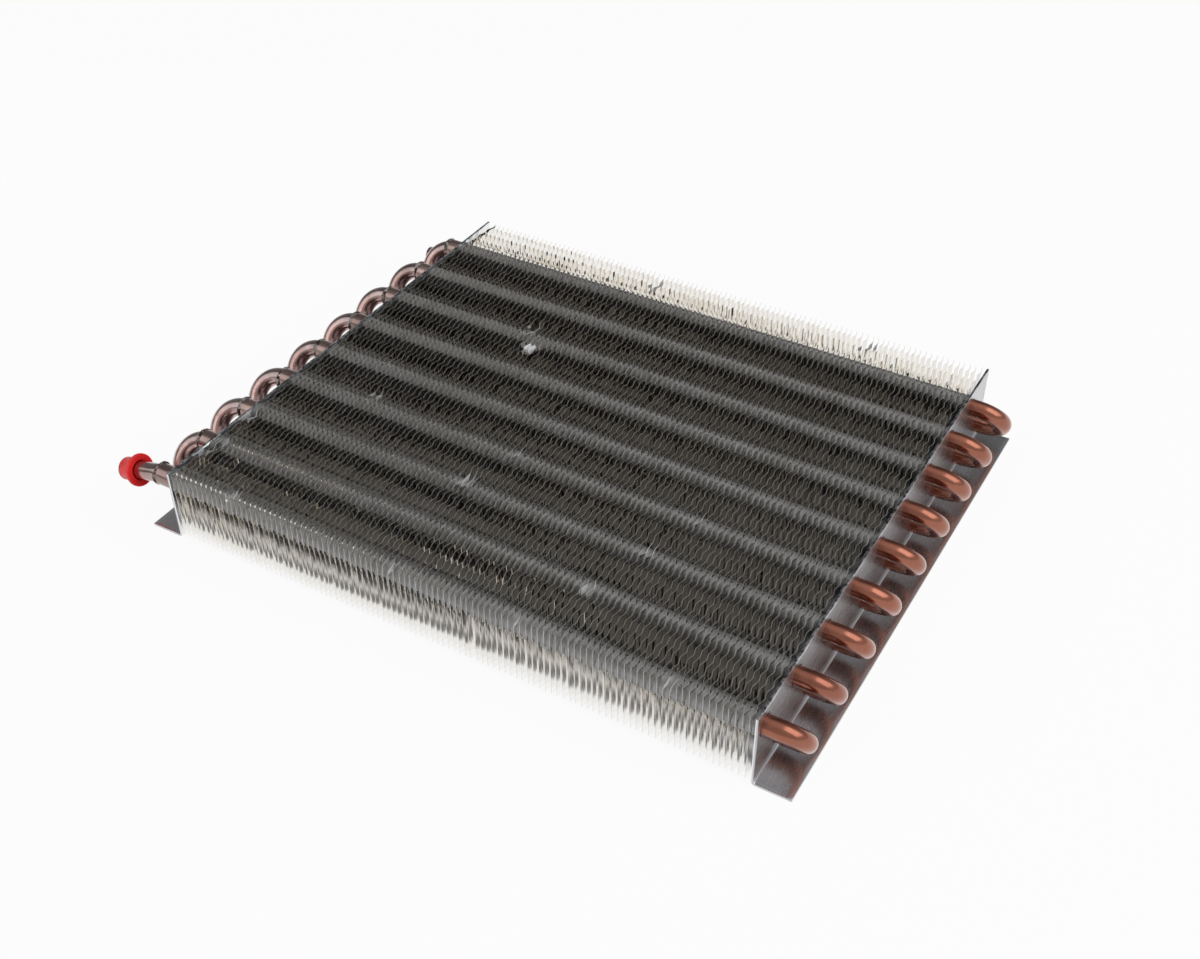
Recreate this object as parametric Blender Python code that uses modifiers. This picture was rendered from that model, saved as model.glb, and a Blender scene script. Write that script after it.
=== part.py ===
"""Finned-tube condenser coil for a refrigeration unit. Metres, +Z up.

X runs along the tubes from the pipe end to the hairpin end, Y from the front edge to the back edge.
Nine copper hairpins run through a pack of aluminium fins and two steel end plates. Eight return bends
join the hairpins at the pipe end, where an inlet stub with a push-on cap and a bare outlet stub are left.
"""

import math

import bmesh
import bpy
from mathutils import Matrix, Vector

# Tube bank
COLUMNS = 9  # hairpins, side by side from front to back
TUBE_PITCH = 0.03175  # from one column to the next
ROW_GAP = 0.0205  # from the lower row of tubes to the upper row
TUBE_OD = 0.00952
TUBE_WALL = 0.0005
COIL_LENGTH = 0.320  # outside of one end plate to the outside of the other

# Clearances between pieces that touch on the real coil
FIT_GAP = 0.0003

# End plates, bent outwards along the bottom
PLATE_HEIGHT = 0.041
PLATE_THICKNESS = 0.0012
FLANGE_WIDTH = 0.018  # from the plate's outer face to the flange's edge
FLANGE_BEND_RADIUS = 0.0014  # inside the bend

# Fins
FIN_PITCH = 0.0031
FIN_THICKNESS = 0.0002
FIN_BELOW_PLATE_TOP = 0.0005
FIN_ABOVE_BASE = 0.0025
FIN_EDGE_INSET = 0.0004  # behind the end plates' front and back edges
COLLAR_WALL = 0.0004  # the fins' collars, stacked end to end around the tubes

# Hairpin ends
HAIRPIN_STRAIGHT = 0.003  # from the end plate to the start of the bend
BELL_START = 0.0008  # outside the end plate
BELL_SHOULDER = 0.0014  # length of the flare
BELL_REACH = 0.0125  # from the end plate to the bell's mouth
SOCKET_DEPTH = 0.007  # how far a bend or a stub sits in its bell

# Inlet and outlet
STUB_BEYOND_BELL = 0.025  # the inlet stub, along its own slope
STUB_DROP = math.radians(15)  # the inlet stub hangs down by this
OUTLET_REACH = 0.041  # from the end plate to the outlet stub's open end

# Push-on cap of the inlet stub
CAP_WALL = 0.0009
CAP_FLANGE_OD = 0.017
CAP_FLANGE_THICKNESS = 0.0016
CAP_LENGTH = 0.0105
CAP_EDGE_ROUND = 0.0007

# Faces around a tube, a cap and a bend
TUBE_SIDES = 8
CAP_SIDES = 12
BEND_STEPS = 6
FLANGE_BEND_STEPS = 3

# Sizes that follow from the ones above
TUBE_RADIUS = TUBE_OD / 2
SIDE_FACTOR = 1 / math.cos(math.pi / TUBE_SIDES)  # a polygon's corner radius over its flat radius
HOLE_RADIUS = (TUBE_RADIUS + FIT_GAP) * SIDE_FACTOR
BELL_RADIUS = (TUBE_RADIUS + FIT_GAP + TUBE_WALL) * SIDE_FACTOR
COIL_DEPTH = COLUMNS * TUBE_PITCH
FRONT_EDGE = -COIL_DEPTH / 2
ROW_SHIFT = TUBE_PITCH / 2  # the lower row stands half a pitch further back
FIRST_COLUMN = FRONT_EDGE + TUBE_PITCH / 4
LOWER_ROW = (PLATE_HEIGHT - ROW_GAP) / 2
UPPER_ROW = LOWER_ROW + ROW_GAP
BEND_RADIUS = math.hypot(ROW_SHIFT, ROW_GAP) / 2

CAP_START = STUB_BEYOND_BELL + FIT_GAP + CAP_WALL - CAP_LENGTH  # past the bell, along the stub
INLET_REACH = BELL_REACH + (CAP_START + CAP_LENGTH) * math.cos(STUB_DROP)
LEFT_REACH = max(OUTLET_REACH, INLET_REACH, BELL_REACH + BEND_RADIUS + TUBE_RADIUS, FLANGE_WIDTH)
RIGHT_REACH = max(HAIRPIN_STRAIGHT + BEND_RADIUS + TUBE_RADIUS, FLANGE_WIDTH)
LEFT_FACE = (LEFT_REACH - COIL_LENGTH - RIGHT_REACH) / 2  # outer face of the left end plate
RIGHT_FACE = LEFT_FACE + COIL_LENGTH

FIN_SPACE = COIL_LENGTH - 2 * PLATE_THICKNESS
FIN_COUNT = int((FIN_SPACE - FIN_THICKNESS) / FIN_PITCH)
FIN_BOTTOM = FIN_ABOVE_BASE
FIN_TOP = PLATE_HEIGHT - FIN_BELOW_PLATE_TOP
PACK_LENGTH = (FIN_COUNT - 1) * FIN_PITCH + FIN_THICKNESS
PACK_START = (LEFT_FACE + RIGHT_FACE - PACK_LENGTH) / 2


def clear_scene():
    for obj in list(bpy.data.objects):
        bpy.data.objects.remove(obj, do_unlink=True)
    for collection in list(bpy.data.collections):
        bpy.data.collections.remove(collection)


def new_collection(name):
    collection = bpy.data.collections.new(name)
    bpy.context.scene.collection.children.link(collection)
    return collection


def new_material(name, colour, roughness, metallic):
    material = bpy.data.materials.new(name)
    material.use_nodes = True
    shader = material.node_tree.nodes["Principled BSDF"]
    shader.inputs["Base Color"].default_value = (*colour, 1)
    shader.inputs["Roughness"].default_value = roughness
    shader.inputs["Metallic"].default_value = metallic
    material.diffuse_color = (*colour, 1)
    return material


def new_object(name, data, collection, material=None, parent=None):
    obj = bpy.data.objects.new(name, data)
    collection.objects.link(obj)
    obj.parent = parent
    if material and material.name not in data.materials:
        data.materials.append(material)
    return obj


def mesh_from(name, bm):
    mesh = bpy.data.meshes.new(name)
    bm.to_mesh(mesh)
    bm.free()
    return mesh


def box_mesh(name, low, high):
    """A box between two corners."""
    size = [h - l for l, h in zip(low, high)]
    centre = [(h + l) / 2 for l, h in zip(low, high)]
    bm = bmesh.new()
    bmesh.ops.create_cube(bm, size=1, matrix=Matrix.Translation(centre) @ Matrix.Diagonal((*size, 1)))
    return mesh_from(name, bm)


def tube_curve(name, points, bells=()):
    """An open-ended tube surface along the points. The points listed in bells have the bell's radius."""
    curve = bpy.data.curves.new(name, "CURVE")
    curve.dimensions = "3D"
    curve.bevel_depth = TUBE_RADIUS
    curve.bevel_resolution = (TUBE_SIDES - 4) // 2
    spline = curve.splines.new("POLY")
    spline.points.add(len(points) - 1)
    for index, (spline_point, point) in enumerate(zip(spline.points, points)):
        spline_point.co = (*point, 1)
        spline_point.radius = BELL_RADIUS / TUBE_RADIUS if index in bells else 1
    return curve


def add_wall(obj):
    """Gives an open tube surface its wall, inwards."""
    solidify = obj.modifiers.new("Wall", "SOLIDIFY")
    solidify.thickness = TUBE_WALL
    solidify.offset = -1
    solidify.use_even_offset = True


def half_turn(start, end, outwards):
    """Points of a half circle from start to end that bulges outwards."""
    centre = (start + end) / 2
    across = (end - start) / 2
    bulge = outwards.normalized() * across.length
    angles = [math.pi * step / BEND_STEPS for step in range(BEND_STEPS + 1)]
    return [centre - across * math.cos(angle) + bulge * math.sin(angle) for angle in angles]


def hairpin_curve():
    """One hairpin of the first column: two long legs, a bend at the right and a bell on each left end."""
    upper = Vector((0, 0, UPPER_ROW))
    lower = Vector((0, ROW_SHIFT, LOWER_ROW))
    bell_points = [Vector((LEFT_FACE - out, 0, 0)) for out in (BELL_REACH, BELL_START + BELL_SHOULDER, BELL_START)]
    bend_start = Vector((RIGHT_FACE + HAIRPIN_STRAIGHT, 0, 0))
    points = [upper + point for point in bell_points]
    points += half_turn(upper + bend_start, lower + bend_start, Vector((1, 0, 0)))
    points += [lower + point for point in reversed(bell_points)]
    last = len(points) - 1
    return tube_curve("hairpin", points, bells=(0, 1, last - 1, last))


def return_bend_curve():
    """The bend from the first column's lower tube to the next column's upper tube, in their bells."""
    lower = Vector((0, ROW_SHIFT, LOWER_ROW))
    upper = Vector((0, TUBE_PITCH, UPPER_ROW))
    seat = Vector((LEFT_FACE - BELL_REACH + SOCKET_DEPTH, 0, 0))
    mouth = Vector((LEFT_FACE - BELL_REACH, 0, 0))
    points = [lower + seat]
    points += half_turn(lower + mouth, upper + mouth, Vector((-1, 0, 0)))
    points += [upper + seat]
    return tube_curve("return_bend", points)


def tube_axes():
    """Where the tubes' axes cross the YZ plane."""
    for column in range(COLUMNS):
        y = FIRST_COLUMN + column * TUBE_PITCH
        yield y, UPPER_ROW
        yield y + ROW_SHIFT, LOWER_ROW


def tube_hole_mesh():
    """A rod for every tube hole, longer than the coil."""
    bm = bmesh.new()
    middle = (LEFT_FACE + RIGHT_FACE) / 2
    along_x = Matrix.Rotation(math.pi / 2, 4, "Y") @ Matrix.Rotation(math.pi / TUBE_SIDES, 4, "Z")
    for y, z in tube_axes():
        bmesh.ops.create_cone(
            bm,
            cap_ends=True,
            segments=TUBE_SIDES,
            radius1=HOLE_RADIUS,
            radius2=HOLE_RADIUS,
            depth=COIL_LENGTH + 2 * PLATE_THICKNESS,
            matrix=Matrix.Translation((middle, y, z)) @ along_x,
        )
    return mesh_from("tube_holes", bm)


def cut_tube_holes(obj, cutter):
    boolean = obj.modifiers.new("Tube holes", "BOOLEAN")
    boolean.operation = "DIFFERENCE"
    boolean.object = cutter


def end_plate_mesh(name, outer_face, outwards):
    """The plate's fin side, down round the bend and out along the underside of the flange, as one open
    surface. outwards is -1 at the left and 1 at the right."""
    fin_side = outer_face - outwards * PLATE_THICKNESS
    radius = FLANGE_BEND_RADIUS + PLATE_THICKNESS
    profile = [(fin_side, PLATE_HEIGHT)]
    for step in range(FLANGE_BEND_STEPS + 1):
        angle = math.pi / 2 * step / FLANGE_BEND_STEPS
        profile.append((fin_side + outwards * radius * (1 - math.cos(angle)), radius * (1 - math.sin(angle))))
    profile.append((outer_face + outwards * FLANGE_WIDTH, 0))
    bm = bmesh.new()
    corners = [bm.verts.new((x, FRONT_EDGE, z)) for x, z in profile]
    edges = [bm.edges.new(pair) for pair in zip(corners, corners[1:])]
    made = bmesh.ops.extrude_edge_only(bm, edges=edges)["geom"]
    back = [item for item in made if isinstance(item, bmesh.types.BMVert)]
    bmesh.ops.translate(bm, verts=back, vec=(0, COIL_DEPTH, 0))
    bm.normal_update()
    wall = max(bm.faces, key=lambda face: abs(face.normal.x))
    if wall.normal.x * outwards > 0:
        bmesh.ops.reverse_faces(bm, faces=bm.faces)
    return mesh_from(name, bm)


def add_end_plate(name, outer_face, outwards, cutter, collection, material, root):
    obj = new_object(name, end_plate_mesh(name, outer_face, outwards), collection, material, root)
    solidify = obj.modifiers.new("Sheet", "SOLIDIFY")
    solidify.thickness = PLATE_THICKNESS
    solidify.offset = -1
    solidify.use_even_offset = True
    cut_tube_holes(obj, cutter)
    return obj


def add_fin_pack(cutter, collection, cutters, material, root):
    """The fins as an array of plates, joined by their stacked collars, which close up around the tubes."""
    front, back = FRONT_EDGE + FIN_EDGE_INSET, -FRONT_EDGE - FIN_EDGE_INSET
    collar_radius = HOLE_RADIUS + COLLAR_WALL
    fin = new_object(
        "fin_pack",
        box_mesh("fin", (PACK_START, front, FIN_BOTTOM), (PACK_START + FIN_THICKNESS, back, FIN_TOP)),
        collection,
        material,
        root,
    )
    array = fin.modifiers.new("Fins", "ARRAY")
    array.count = FIN_COUNT
    array.use_relative_offset = False
    array.use_constant_offset = True
    array.constant_offset_displace = (FIN_PITCH, 0, 0)
    last_column = FIRST_COLUMN + (COLUMNS - 1) * TUBE_PITCH + ROW_SHIFT
    collars = new_object(
        "collar_block",
        box_mesh(
            "collar_block",
            (PACK_START, FIRST_COLUMN - collar_radius, LOWER_ROW - collar_radius),
            (PACK_START + PACK_LENGTH, last_column + collar_radius, UPPER_ROW + collar_radius),
        ),
        cutters,
        parent=root,
    )
    as_helper(collars)
    union = fin.modifiers.new("Collars", "BOOLEAN")
    union.operation = "UNION"
    union.object = collars
    cut_tube_holes(fin, cutter)
    return fin


def as_helper(obj):
    obj.hide_render = True
    obj.display_type = "WIRE"


def stub_frame():
    """The inlet stub's axis from its bell's mouth outwards: a point and a direction."""
    mouth = Vector((LEFT_FACE - BELL_REACH, FIRST_COLUMN, UPPER_ROW))
    direction = Vector((-math.cos(STUB_DROP), 0, -math.sin(STUB_DROP)))
    return mouth, direction


def inlet_stub_curve():
    mouth, direction = stub_frame()
    seat = mouth + Vector((SOCKET_DEPTH, 0, 0))
    return tube_curve("inlet_stub", [seat, mouth, mouth + direction * STUB_BEYOND_BELL])


def outlet_stub_curve():
    y = FIRST_COLUMN + (COLUMNS - 1) * TUBE_PITCH + ROW_SHIFT
    seat = Vector((LEFT_FACE - BELL_REACH + SOCKET_DEPTH, y, LOWER_ROW))
    end = Vector((LEFT_FACE - OUTLET_REACH, y, LOWER_ROW))
    return tube_curve("outlet_stub", [seat, end])


def cap_mesh():
    """Half of the cap's section, from its open flange at z = 0 to its closed end, to be turned about Z."""
    bore = (TUBE_RADIUS + FIT_GAP) / math.cos(math.pi / CAP_SIDES)
    body = bore + CAP_WALL
    flange = CAP_FLANGE_OD / 2
    floor = CAP_LENGTH - CAP_WALL
    profile = [
        (0, CAP_LENGTH),
        (body - CAP_EDGE_ROUND, CAP_LENGTH),
        (body, CAP_LENGTH - CAP_EDGE_ROUND),
        (body, CAP_FLANGE_THICKNESS),
        (flange, CAP_FLANGE_THICKNESS),
        (flange, 0),
        (bore, 0),
        (bore, floor),
        (0, floor),
    ]
    bm = bmesh.new()
    corners = [bm.verts.new((radius, 0, height)) for radius, height in profile]
    for pair in zip(corners, corners[1:]):
        bm.edges.new(pair)
    return mesh_from("inlet_cap", bm)


def add_cap(collection, material, root):
    mouth, direction = stub_frame()
    cap = new_object("inlet_cap", cap_mesh(), collection, material, root)
    cap.location = mouth + direction * CAP_START
    cap.rotation_euler = direction.to_track_quat("Z", "Y").to_euler()
    screw = cap.modifiers.new("Turn", "SCREW")
    screw.steps = CAP_SIDES
    screw.render_steps = CAP_SIDES
    screw.use_merge_vertices = True
    screw.merge_threshold = 0.00001
    return cap


def main():
    clear_scene()
    coil = new_collection("condenser_coil")
    cutters = new_collection("cutters")
    root = bpy.data.objects.new("condenser_coil", None)
    coil.objects.link(root)

    galvanised = new_material("galvanised_steel", (0.42, 0.42, 0.43), 0.35, 1.0)
    aluminium = new_material("fin_aluminium", (0.30, 0.29, 0.28), 0.45, 1.0)
    copper = new_material("drawn_copper", (0.72, 0.33, 0.20), 0.22, 1.0)
    brazed_copper = new_material("brazed_copper", (0.42, 0.24, 0.20), 0.32, 1.0)
    red_plastic = new_material("red_plastic", (0.80, 0.03, 0.03), 0.45, 0.0)

    hole_rods = new_object("tube_holes", tube_hole_mesh(), cutters, parent=root)
    as_helper(hole_rods)

    add_end_plate("left_end_plate", LEFT_FACE, -1, hole_rods, coil, galvanised, root)
    add_end_plate("right_end_plate", RIGHT_FACE, 1, hole_rods, coil, galvanised, root)
    add_fin_pack(hole_rods, coil, cutters, aluminium, root)

    hairpin = hairpin_curve()
    for column in range(COLUMNS):
        obj = new_object(f"hairpin_{column + 1}", hairpin, coil, copper, root)
        obj.location.y = FIRST_COLUMN + column * TUBE_PITCH
        add_wall(obj)

    return_bend = return_bend_curve()
    for column in range(COLUMNS - 1):
        obj = new_object(f"return_bend_{column + 1}", return_bend, coil, brazed_copper, root)
        obj.location.y = FIRST_COLUMN + column * TUBE_PITCH
        add_wall(obj)

    add_wall(new_object("inlet_stub", inlet_stub_curve(), coil, brazed_copper, root))
    add_wall(new_object("outlet_stub", outlet_stub_curve(), coil, brazed_copper, root))
    add_cap(coil, red_plastic, root)


main()
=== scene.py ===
import math
import bmesh
import bpy
import numpy as np
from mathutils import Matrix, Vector


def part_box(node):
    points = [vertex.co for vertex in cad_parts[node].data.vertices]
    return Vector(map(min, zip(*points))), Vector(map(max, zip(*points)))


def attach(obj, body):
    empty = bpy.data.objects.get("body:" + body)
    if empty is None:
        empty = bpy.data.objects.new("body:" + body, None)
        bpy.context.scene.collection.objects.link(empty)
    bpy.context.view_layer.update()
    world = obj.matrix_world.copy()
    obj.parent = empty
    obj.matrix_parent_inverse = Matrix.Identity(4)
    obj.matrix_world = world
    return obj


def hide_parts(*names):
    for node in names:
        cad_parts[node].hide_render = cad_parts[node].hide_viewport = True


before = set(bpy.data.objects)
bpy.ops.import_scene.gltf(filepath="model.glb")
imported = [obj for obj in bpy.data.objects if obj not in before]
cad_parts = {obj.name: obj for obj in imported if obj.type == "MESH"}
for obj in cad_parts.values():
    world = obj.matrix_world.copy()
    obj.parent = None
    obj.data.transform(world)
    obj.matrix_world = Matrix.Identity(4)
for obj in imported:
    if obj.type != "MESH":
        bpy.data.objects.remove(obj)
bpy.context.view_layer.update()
print("frame loaded,", len(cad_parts), "nodes")

# where things are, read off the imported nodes
sheet = 0.0012  # end plate thickness
leftLow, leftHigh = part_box("left_end_plate")
leftFace = leftHigh.x - sheet  # outer faces of the two plates
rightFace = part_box("right_end_plate")[0].x + sheet
middleX, halfX = (leftFace + rightFace) / 2, (rightFace - leftFace) / 2
frontEdge, backEdge = leftLow.y, leftHigh.y
plateTop = leftHigh.z

tubes = {
    "columns": 9,
    "pitch": 0.03175,
    "upper": 0.03075,  # height of the upper row
    "lower": 0.01025,
    "radius": 0.00476,
    "wall": 0.0005,
    "lip": 0.00012,  # how far both skins are taken back at an open end
    "sides": 36,
    "turnSteps": 29,  # points along a half turn
    "bellRadius": 0.00562,
    "bellReach": 0.0125,  # plate to bell mouth
    "bellStart": 0.0008,  # plate to where the tube starts to widen
    "shoulder": 0.0016,
    "socket": 0.007,  # how deep a bend or a stub reaches into its bell
    "straight": 0.00295,  # plate to the hairpin bend
}
upperY = frontEdge + tubes["pitch"] * (np.arange(tubes["columns"]) + 0.25)
lowerY = upperY + tubes["pitch"] / 2


# meshes
def gridFaces(rows, columns, wrapRows=False, wrapColumns=False):
    # quads of a rows x columns grid of points, numbered row by row; a wrapped direction closes on itself
    i = np.arange(rows if wrapRows else rows - 1)[:, None]
    j = np.arange(columns if wrapColumns else columns - 1)[None, :]
    ni, nj = (i + 1) % rows, (j + 1) % columns
    corners = np.broadcast_arrays(i * columns + j, i * columns + nj, ni * columns + nj, ni * columns + j)
    return np.stack(corners, -1).reshape(-1, 4)


def facingOut(points, faces):
    # six times the enclosed volume is the sum of corner triple products; where it is negative the quads are turned
    a, b, c, d = (points[faces[:, n]] for n in range(4))
    volume = np.einsum("ij,ij", a, np.cross(b, c)) + np.einsum("ij,ij", a, np.cross(c, d))
    return faces if volume > 0 else faces[:, ::-1]


def putMesh(name, points, faces, material, smoothAngle=None, merge=False):
    points = np.asarray(points, np.float32).reshape(-1, 3)
    mesh = bpy.data.meshes.new(name)
    mesh.vertices.add(len(points))
    mesh.vertices.foreach_set("co", points.ravel())
    mesh.loops.add(faces.size)
    mesh.loops.foreach_set("vertex_index", np.ascontiguousarray(faces, np.int32).ravel())
    mesh.polygons.add(len(faces))
    mesh.polygons.foreach_set("loop_start", np.arange(0, faces.size, 4, dtype=np.int32))
    mesh.update(calc_edges=True)
    if merge:
        work = bmesh.new()
        work.from_mesh(mesh)
        bmesh.ops.remove_doubles(work, verts=work.verts, dist=1e-7)
        work.to_mesh(mesh)
        work.free()
    mesh.validate()
    mesh.shade_smooth()
    if smoothAngle:
        mesh.set_sharp_from_angle(angle=math.radians(smoothAngle))
    mesh.materials.append(material)
    piece = bpy.data.objects.new(name, mesh)
    bpy.context.scene.collection.objects.link(piece)
    return piece


def standFor(piece, slotName, *nodes):
    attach(piece, "root")
    if nodes:
        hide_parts(*nodes)


def sweep(path, across, radii):
    # rings along a flat path: point + radius * (cos t * across + sin t * across x tangent), across is the plane's normal
    tangent = np.gradient(path, axis=0)
    tangent /= np.linalg.norm(tangent, axis=1)[:, None]
    side = np.cross(np.broadcast_to(across, tangent.shape), tangent)
    turn = np.linspace(0, 2 * math.pi, tubes["sides"], endpoint=False)
    ring = np.cos(turn)[None, :, None] * across + np.sin(turn)[None, :, None] * side[:, None, :]
    return path[:, None, :] + radii[:, None, None] * ring


def hollowTube(name, path, across, radii, material):
    # out along the outer skin and back along the inner one, with both lips taken back a little so they catch light
    across = np.asarray(across, float) / np.linalg.norm(across)
    outer, inner = radii.copy(), radii - tubes["wall"]
    outer[[0, -1]] -= tubes["lip"]
    inner[[0, -1]] += tubes["lip"]
    rows = np.concatenate([sweep(path, across, outer), sweep(path, across, inner)[::-1]])
    points = rows.reshape(-1, 3)
    faces = facingOut(points, gridFaces(len(rows), tubes["sides"], True, True))
    return putMesh(name, points, faces, material)


def turned(name, profile, origin, axis, sides, material, smoothAngle=None, closed=True, wobble=None):
    # a section (distance along the axis, radius) turned about the axis; wobble(turn, along, radius) may move its points
    axis = np.asarray(axis, float) / np.linalg.norm(axis)
    u = np.cross(axis, (0, 0, 1.0))
    u /= np.linalg.norm(u)
    v = np.cross(axis, u)
    turn = np.linspace(0, 2 * math.pi, sides, endpoint=False)
    along, radius = (row[:, None] + np.zeros(sides) for row in np.asarray(profile, float).T)
    if wobble:
        along, radius = wobble(turn, along, radius)
    ring = np.cos(turn)[:, None] * u + np.sin(turn)[:, None] * v
    points = (np.asarray(origin) + along[..., None] * axis + radius[..., None] * ring).reshape(-1, 3)
    faces = facingOut(points, gridFaces(len(profile), sides, closed, True))
    return putMesh(name, points, faces, material, smoothAngle, merge=True)


# nodes
def addNode(tree, kind, values=None, **settings):
    node = tree.nodes.new(kind)
    for key, value in settings.items():
        setattr(node, key, value)
    for key, value in (values or {}).items():
        node.inputs[key].default_value = value
    return node


def wire(tree, source, target):
    tree.links.new(source, target)


def calc(tree, operation, *values):
    # one maths node, each value a number or a socket
    node = addNode(tree, "ShaderNodeMath", operation=operation)
    for socket, value in zip(node.inputs, values):
        if isinstance(value, float):
            socket.default_value = value
        else:
            wire(tree, value, socket)
    return node.outputs[0]


def blend(tree, mask, first, second):
    mix = addNode(tree, "ShaderNodeMix", data_type="RGBA")
    wire(tree, mask, mix.inputs["Factor"])
    for label, colour in (("A", first), ("B", second)):
        socket = [s for s in mix.inputs if s.name == label and s.type == "RGBA"][0]
        if isinstance(colour, tuple):
            socket.default_value = (*colour, 1)
        else:
            wire(tree, colour, socket)
    return [s for s in mix.outputs if s.type == "RGBA"][0]


def span(tree, value, low, high, fromLow=0.0, fromHigh=1.0):
    limits = {"From Min": fromLow, "From Max": fromHigh, "To Min": low, "To Max": high}
    node = addNode(tree, "ShaderNodeMapRange", limits)
    wire(tree, value, node.inputs["Value"])
    return node.outputs[0]


def greyRamp(tree, place, stops):
    # a ramp through (position, grey) stops, in rising order
    node = addNode(tree, "ShaderNodeValToRGB")
    elements = node.color_ramp.elements
    while len(elements) < len(stops):
        elements.new(1)
    for element, (position, grey) in zip(elements, stops):
        element.position = position
        element.color = (grey, grey, grey, 1)
    wire(tree, place, node.inputs["Fac"])
    return node.outputs["Color"]


def axes(tree, place):
    # sockets for the X, Y and Z of a vector
    node = addNode(tree, "ShaderNodeSeparateXYZ")
    wire(tree, place, node.inputs[0])
    return node.outputs


def fromMiddle(tree, x):
    # distance to either side of the coil's middle
    return calc(tree, "ABSOLUTE", calc(tree, "SUBTRACT", x, middleX))


def relief(tree, shader, height, strength, distance):
    bump = addNode(tree, "ShaderNodeBump", {"Strength": strength, "Distance": distance})
    wire(tree, height, bump.inputs["Height"])
    wire(tree, bump.outputs[0], shader.inputs["Normal"])


def newGroup(name, ins, outs):
    # a tuple makes a vector socket and a number a float socket; everything that comes out is a float
    tree = bpy.data.node_groups.new(name, "ShaderNodeTree")
    for label, value in ins.items():
        kind = "NodeSocketVector" if isinstance(value, tuple) else "NodeSocketFloat"
        tree.interface.new_socket(label, in_out="INPUT", socket_type=kind).default_value = value
    for label in outs:
        tree.interface.new_socket(label, in_out="OUTPUT", socket_type="NodeSocketFloat")
    return tree, tree.nodes.new("NodeGroupInput"), tree.nodes.new("NodeGroupOutput")


def useGroup(tree, group, place, values):
    node = addNode(tree, "ShaderNodeGroup", values, node_tree=group)
    wire(tree, place, node.inputs["Vector"])
    return node


def makePatches():
    # cloudy noise, sharpened into patches (0 is clean, 1 is fully marked), and noise 7.3 times as fine
    tree, into, out = newGroup("patches", {"Vector": (0, 0, 0), "Size": 60, "Cover": 0.5, "Edge": 0.25}, ("Mask", "Fine"))
    place, size, cover, edge = (into.outputs[label] for label in ("Vector", "Size", "Cover", "Edge"))
    large = addNode(tree, "ShaderNodeTexNoise", {"Detail": 5.0, "Roughness": 0.6})
    wire(tree, place, large.inputs["Vector"])
    wire(tree, size, large.inputs["Scale"])
    small = addNode(tree, "ShaderNodeTexNoise", {"Detail": 3.0, "Roughness": 0.55})
    wire(tree, place, small.inputs["Vector"])
    wire(tree, calc(tree, "MULTIPLY", size, 7.3), small.inputs["Scale"])
    spread = addNode(tree, "ShaderNodeMapRange")
    wire(tree, large.outputs["Fac"], spread.inputs["Value"])
    wire(tree, calc(tree, "SUBTRACT", cover, edge), spread.inputs["From Min"])
    wire(tree, calc(tree, "ADD", cover, edge), spread.inputs["From Max"])
    wire(tree, spread.outputs[0], out.inputs["Mask"])
    wire(tree, small.outputs["Fac"], out.inputs["Fine"])
    return tree


def makeScratches():
    # noise with its own stretch along each axis, for thin marks or an even grain
    tree, into, out = newGroup("scratches", {"Vector": (0, 0, 0), "Stretch": (1, 1, 1), "Size": 400}, ("Height",))
    pull = addNode(tree, "ShaderNodeVectorMath", operation="MULTIPLY")
    wire(tree, into.outputs["Vector"], pull.inputs[0])
    wire(tree, into.outputs["Stretch"], pull.inputs[1])
    noise = addNode(tree, "ShaderNodeTexNoise", {"Detail": 4.0, "Roughness": 0.65})
    wire(tree, pull.outputs[0], noise.inputs["Vector"])
    wire(tree, into.outputs["Size"], noise.inputs["Scale"])
    wire(tree, noise.outputs["Fac"], out.inputs["Height"])
    return tree


patches, scratches = makePatches(), makeScratches()
wideNoise, narrowNoise = (0.25, 0.75), (0.3, 0.7)  # the parts of a noise's values that are spread over a range


# finishes
def newFinish(name):
    material = bpy.data.materials.new(name)
    material.use_nodes = True
    tree = material.node_tree
    return material, tree, tree.nodes["Principled BSDF"], tree.nodes.new("ShaderNodeTexCoord").outputs["Object"]


def makeAluminium():
    look = {"bright": (0.965, 0.958, 0.945), "dull": (0.93, 0.915, 0.89), "rough": (0.02, 0.05)}
    material, tree, shader, place = newFinish("millAluminium")
    marks = useGroup(tree, patches, place, {"Size": 34.0, "Cover": 0.52, "Edge": 0.22})
    wire(tree, blend(tree, marks.outputs["Mask"], look["bright"], look["dull"]), shader.inputs["Base Color"])
    wire(tree, span(tree, marks.outputs["Fine"], *look["rough"], *wideNoise), shader.inputs["Roughness"])
    shader.inputs["Metallic"].default_value = 1
    return material


def makeCutAluminium():
    # the fins' sheared edges: brighter and rougher than their faces, with dust lying on the top ones; also painted
    # glints at the fins' knocks
    look = {
        "bright": (0.95, 0.95, 0.95), "dull": (0.66, 0.66, 0.67),
        "dusty": (0.52, 0.51, 0.50), "dustier": (0.37, 0.36, 0.35),
        "rough": (0.40, 0.55),
        "dustReach": 0.0008,  # how far below the plates' top edge the dust ends
    }
    material, tree, shader, place = newFinish("cutEdgeAndGlint")
    marks = useGroup(tree, patches, place, {"Size": 90.0, "Cover": 0.55, "Edge": 0.2})
    onTop = calc(tree, "GREATER_THAN", axes(tree, place)["Z"], plateTop - look["dustReach"])
    clean = blend(tree, marks.outputs["Mask"], look["bright"], look["dull"])
    dust = blend(tree, marks.outputs["Mask"], look["dusty"], look["dustier"])
    wire(tree, blend(tree, onTop, clean, dust), shader.inputs["Base Color"])
    wire(tree, span(tree, marks.outputs["Fine"], *look["rough"], *wideNoise), shader.inputs["Roughness"])
    shader.inputs["Metallic"].default_value = 0.1
    return material


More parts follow.
